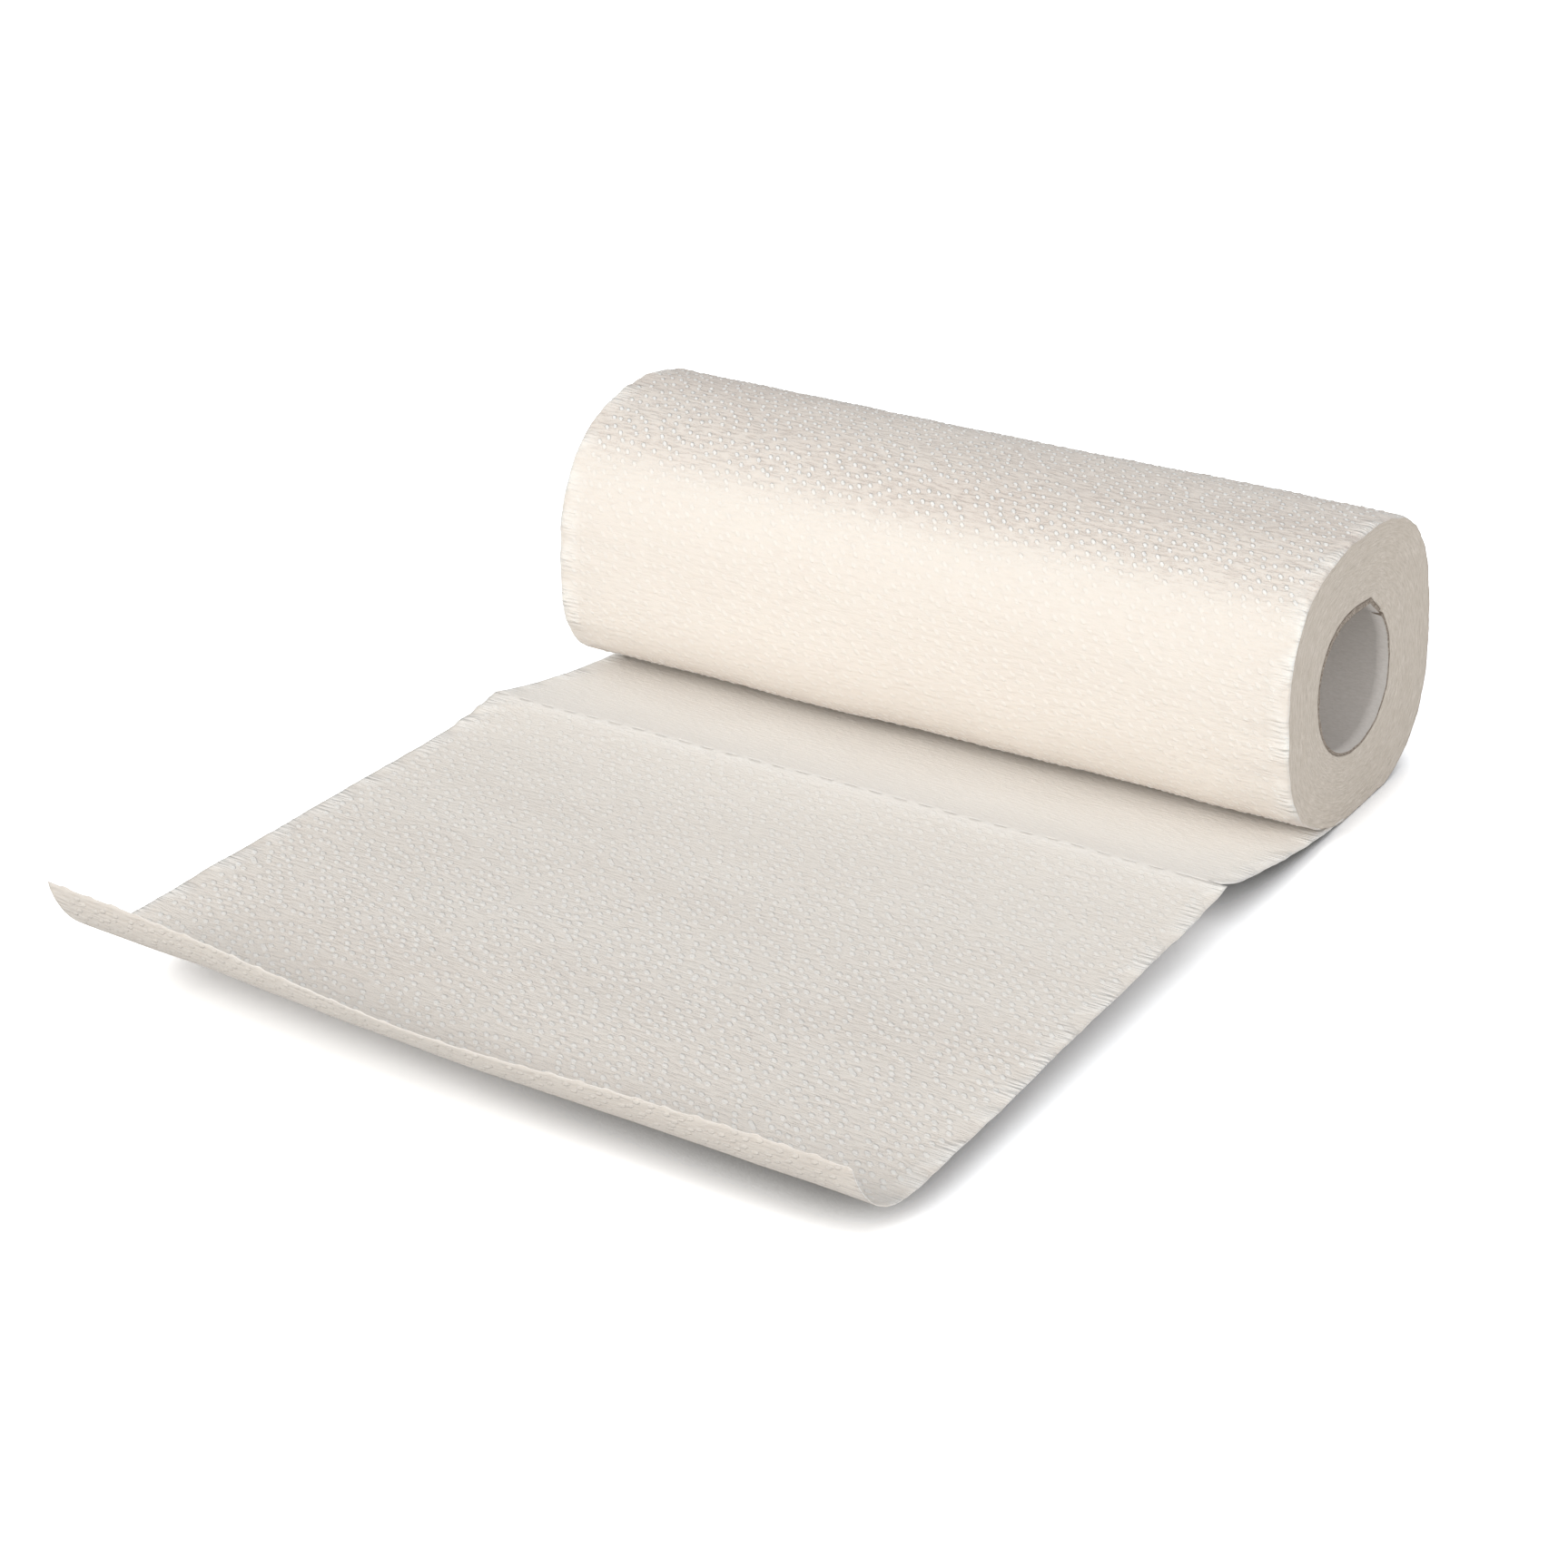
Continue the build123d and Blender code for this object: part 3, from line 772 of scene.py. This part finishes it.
class PAPERTOWEL_OT_tail(bpy.types.Operator):
    """Lays out the tail: the paper from the roll to the perforations, and the last sheet with its curled end"""

    bl_idname = "papertowel.tail"
    bl_label = "Pulled-out sheet"

    def execute(self, context):
        settings = context.scene.paper_settings
        rows = rise_rows + sheet_rows
        mesh, grid, flat, rise, depth = flat_grid(tail_columns, rows, "dot_rise", "emboss_depth_and_shade")
        stretches = tail_path(0)
        crest = sum(length for length, turn in stretches[:2]) + stretches[2][0] / 2
        end = crest + sheet_length
        step_across = roll_length / tail_columns
        rise_step = crest / rise_rows
        sheet_step = sheet_length / sheet_rows
        dots = {}
        for x, along in dot_places(settings, end):
            past = along - crest
            row = round(along / rise_step) if past < 0 else rise_rows + round(past / sheet_step)
            if row != rise_rows and row < rows:
                dots.setdefault((round((x + half_length) / step_across), row), (x, along))

        dot_height = settings.dot_height / MM
        places = {}
        for (column, row), vert in grid.items():
            x = -half_length + column * step_across
            along = row * rise_step if row <= rise_rows else crest + (row - rise_rows) * sheet_step
            if (column, row) in dots:
                x, along = dots[column, row]
                vert[rise] = 1.0
            if 0 < crest - along < tear_round:
                x -= self.torn_corner(x, crest - along)
            # The share of the emboss also sets the painted shade and light of the paper's tone
            vert[depth] = self.depth_at(along, crest)
            stand = tail_bend(x, along, crest) + dot_height * vert[depth] * vert[rise]
            reach = self.torn_fibres(column, x) if row == rows else 0.0
            y, z, pitch = tail_point((x + half_length) / roll_length, along)
            vert.co = Vector((
                x + self.edge_wander(x, along),
                y + stand * sin(pitch) - reach * cos(pitch),
                z + stand * cos(pitch) + reach * sin(pitch))) * MM
            places[vert] = (x, along)
        map_paper(mesh, flat, places)
        self.open_perforations(mesh, grid, step_across)
        bmesh.ops.recalc_face_normals(mesh, faces=mesh.faces)
        bmesh.ops.solidify(mesh, geom=mesh.faces, thickness=paper_thickness * MM)
        mesh.normal_update()
        for face in mesh.faces:
            # The underside takes the darker copy of the tissue, painted shade on the curl's outside
            face.material_index = 1 if face.normal.z < -0.1 else 0
        materials = [front_tissue(settings), shaded_back_tissue(settings)]
        piece = finish_piece(mesh, "last_sheet", "towel_web", materials)
        return {"FINISHED"}

    def depth_at(self, along, crest):
        """The share of the emboss that is left at this distance from the root, which also sets the paper's
        painted shade.
        """
        past_crest = blend(near_depth, sheet_depth, fade(along, crest, crest + depth_run))
        return blend(flap_depth, past_crest, fade(along, crest - 3, crest + 10))

    def edge_wander(self, x, along):
        """How far the cut edges stray sideways."""
        wander = 0.25 * ripple(x, along, 1, 11) + 0.2 * ripple(x, along, 6, 3)
        return wander * (1 - fade(half_length - abs(x), 0, 5))

    def torn_fibres(self, column, x):
        """How far the free edge reaches out, with torn fibres where the perforations' bridges were."""
        bridge = column % pitch_columns >= slit_columns
        nib = nib_length if bridge else 0.0
        return nib * (0.5 + 0.5 * ripple(x, 0, 0, 3)) + 0.3 * ripple(x, 5, 0, 7)

    def open_perforations(self, mesh, grid, step_across):
        """Cuts the slits of the perforated line, and parts the paper where it has started to tear."""
        columns = {grid[column, rise_rows]: column for column in range(tail_columns + 1)}
        tear_start = tail_columns - round(tear_length / step_across)
        cut = []
        for edge in mesh.edges:
            if all(vert in columns for vert in edge.verts):
                column = min(columns[vert] for vert in edge.verts)
                if column % pitch_columns < slit_columns or column >= tear_start:
                    cut.append(edge)
        parted = bmesh.ops.split_edges(mesh, edges=cut)["edges"]
        for vert in {vert for edge in parted for vert in edge.verts}:
            faces = vert.link_faces
            middle = sum((face.calc_center_median() for face in faces), Vector()) / len(faces)
            to_sheet = middle.y < vert.co.y
            opened = slit_gap / 2
            torn = self.torn_share(vert.co.x / MM)
            if torn and not to_sheet:
                opened += tear_gap * torn
                vert.co.x -= self.torn_corner(vert.co.x / MM, 0) * MM
            vert.co.y += (-opened if to_sheet else opened) * MM

    def torn_corner(self, x, short_of_crest):
        """How far the roll's side of the tear is rounded off at this distance from the perforations."""
        rest = 1 - short_of_crest / tear_round
        return tear_inset * (1 - (1 - rest ** 2) ** 0.5) * self.torn_share(x)

    def torn_share(self, x):
        """0 where the tear starts to gape and 1 at the edge of the paper."""
        return min(1.0, max(0.0, 1 - (half_length - x) / open_tear))


def ply_joint(x, angle, pitch):
    """1 on the tube's spiral joint and 0 away from it."""
    phase = (x / pitch - angle / tau) % 1.0
    return exp(-(min(phase, 1 - phase) * pitch / joint_spread) ** 2)


class PAPERTOWEL_OT_tube(bpy.types.Operator):
    """Forms the cardboard tube, with its crease, its cut rims and the nick"""

    bl_idname = "papertowel.tube"
    bl_label = "Cardboard tube"

    def execute(self, context):
        settings = context.scene.tube_settings
        columns = 2 * tube_columns + 2 * rim_columns
        mesh, grid, _, joint = flat_grid(columns, tube_rows, "ply_joint")
        angles, girth = even_angles(tube_rows, 0)
        reach = half_length - core_setback
        column_of = {}
        for (column, row), vert in grid.items():
            angle = angles[row]
            from_nick = abs(remainder(angle - nick_angle, tau)) * girth / tau
            x, inset = self.wall_place(column, columns, reach)
            vert.co = self.wall_point(x, angle, inset, reach, from_nick) * MM
            # Painted shade: the board round the nick is coloured dark, for the shade in its gap
            frayed = from_nick < 1.2 and x > reach - nick_depth - 2
            if frayed or column in (tube_columns, columns):
                vert[joint] = 1.0
            elif abs(x) < reach:
                vert[joint] = ply_joint(x, angle, settings.ply_pitch / MM)
            column_of[vert] = column
        lining_start, lining_end = tube_columns + rim_columns, 2 * tube_columns + rim_columns
        for face in mesh.faces:
            numbers = [column_of[vert] for vert in face.verts]
            inner = min(numbers) >= lining_start and max(numbers) <= lining_end
            face.material_index = 1 if inner else 0
        bmesh.ops.remove_doubles(mesh, verts=mesh.verts, dist=merge_distance * MM)
        board = recycled_board("recycled_board", settings.board_colour, settings.fleck_colour)
        lining = recycled_board("board_lining", settings.lining_colour, settings.lining_fleck_colour)
        finish_piece(mesh, "cardboard_tube", "core_tube", [board, lining])
        return {"FINISHED"}

    def wall_place(self, column, columns, reach):
        """Place along the tube and depth in its wall: outside, right rim, inside and left rim in turn."""
        if column <= tube_columns:
            return blend(-reach, reach, column / tube_columns), 0.0
        if column < tube_columns + rim_columns:
            return reach, core_wall * (column - tube_columns) / rim_columns
        if column <= 2 * tube_columns + rim_columns:
            return blend(reach, -reach, (column - tube_columns - rim_columns) / tube_columns), core_wall
        return -reach, core_wall * (columns - column) / rim_columns

    def wall_point(self, x, angle, inset, reach, from_nick):
        """A point of the tube's wall, with its crushed rim, its nick and its frayed plies."""
        notch = nick_depth * (1 - fade(from_nick, 0.15, 0.8))
        crushed = crushed_gain * exp(-(remainder(angle - crushed_angle, tau) / crushed_spread) ** 2)
        wider = 1 + crushed * fade(x, half_length - crushed_run, half_length)
        point = section_point(x, angle, 0, inset * wider)
        lift = lining_waves * ripple(*point, 12) if inset else 0.0
        if x > reach - nick_depth - 1:
            point.x = min(point.x, reach - notch)
        if abs(x) == reach:
            if 0 < inset < core_wall:
                hollow = rim_hollow if x > 0 else -rim_hollow
                point.x -= hollow * (1 if abs(inset - core_wall / 2) < 0.01 else rim_hollow_share)
            point.x += rim_fray * ripple(*point, 3)
        point.y += lift
        return point


class PAPERTOWEL_OT_studio(bpy.types.Operator):
    """Sets up the floor, the room, the lamps and the camera"""

    bl_idname = "papertowel.studio"
    bl_label = "Studio"

    def execute(self, context):
        settings = context.scene.studio_settings
        scene = context.scene
        self.lay_floor(scene, settings)
        self.light_room(scene, settings)
        self.hang_lamp(scene, "key_lamp", (-1.7, -3.7, 2.5), 2.4, settings.key_power, "#FFFCF6")
        self.hang_lamp(scene, "fill_lamp", (3.6, -1.7, 1.75), 2.2, settings.fill_power, "#FFFEFC")
        self.set_camera(scene)
        scene.view_settings.view_transform = "Standard"
        return {"FINISHED"}

    def lay_floor(self, scene, settings):
        """A plain floor that reaches 2.5 m out on each side."""
        mesh = bmesh.new()
        bmesh.ops.create_grid(mesh, x_segments=1, y_segments=1, size=2.5)
        data = bpy.data.meshes.new("floor")
        mesh.to_mesh(data)
        mesh.free()
        data.materials.append(pale_floor(settings))
        floor_piece = bpy.data.objects.new("floor", data)
        scene.collection.objects.link(floor_piece)

    def light_room(self, scene, settings):
        """A world that lights evenly and looks white to the camera, in gloss and through glass."""
        world = bpy.data.worlds.new("room")
        tree = empty_tree(world)
        ray = add_node(tree, "ShaderNodeLightPath")
        seen = add_node(tree, "ShaderNodeMath", {
            0: ray.outputs["Is Camera Ray"], 1: ray.outputs["Is Glossy Ray"]}, operation="MAXIMUM")
        through = add_node(tree, "ShaderNodeMath", {
            0: seen.outputs["Value"], 1: ray.outputs["Is Transmission Ray"]}, operation="MAXIMUM")
        strength = add_node(tree, "ShaderNodeMapRange", {
            "Value": through.outputs["Value"], "To Min": settings.room_light, "To Max": 1.0})
        background = add_node(tree, "ShaderNodeBackground", {
            "Color": linear("#FFFFFF"), "Strength": strength.outputs["Result"]})
        add_node(tree, "ShaderNodeOutputWorld", {"Surface": background.outputs["Background"]})
        scene.world = world

    def hang_lamp(self, scene, name, place, size, power, colour):
        """A round lamp that faces the middle of the object. Its place and size are in metres."""
        lamp = bpy.data.lights.new(name, "AREA")
        lamp.shape = "DISK"
        lamp.size = size
        lamp.energy = power
        lamp.color = linear(colour)[:3]
        hung = bpy.data.objects.new(name, lamp)
        hung.location = place
        hung.rotation_euler = (lamp_target * MM - Vector(place)).to_track_quat("-Z", "Y").to_euler()
        scene.collection.objects.link(hung)

    def set_camera(self, scene):
        """The camera that took the photograph."""
        camera = bpy.data.cameras.new("camera")
        camera.sensor_width = camera_sensor
        camera.lens = camera_lens
        camera.clip_end = 50
        placed = bpy.data.objects.new("camera", camera)
        placed.location = camera_place * MM
        placed.rotation_euler = camera_aim.to_track_quat("-Z", "Y").to_euler()
        scene.collection.objects.link(placed)
        scene.camera = placed


class PAPERTOWEL_PT_panel(bpy.types.Panel):
    """Lists the settings, and the steps that make the roll"""

    bl_label = "Paper towel roll"
    bl_idname = "PAPERTOWEL_PT_panel"
    bl_space_type = "VIEW_3D"
    bl_region_type = "UI"
    bl_category = "Paper towel"

    def draw(self, context):
        for settings in groups:
            group, box = getattr(context.scene, settings), self.layout.box()
            for name in group.bl_rna.properties.keys():
                if name not in ("rna_type", "name"):
                    box.prop(group, name)
        for operator in operators:
            self.layout.operator(operator.bl_idname)


operators = (PAPERTOWEL_OT_roll, PAPERTOWEL_OT_tail, PAPERTOWEL_OT_tube, PAPERTOWEL_OT_studio)
groups = {"paper_settings": PaperSettings, "tube_settings": TubeSettings, "studio_settings": StudioSettings}
classes = (*groups.values(), *operators, PAPERTOWEL_PT_panel)


def register():
    for made in classes:
        bpy.utils.register_class(made)
    for settings, group in groups.items():
        setattr(bpy.types.Scene, settings, bpy.props.PointerProperty(type=group))


def unregister():
    for settings in groups:
        delattr(bpy.types.Scene, settings)
    for made in reversed(classes):
        bpy.utils.unregister_class(made)


def main():
    register()
    bpy.ops.papertowel.roll()
    bpy.ops.papertowel.tail()
    bpy.ops.papertowel.tube()
    bpy.ops.papertowel.studio()


if __name__ == "__main__":
    main()
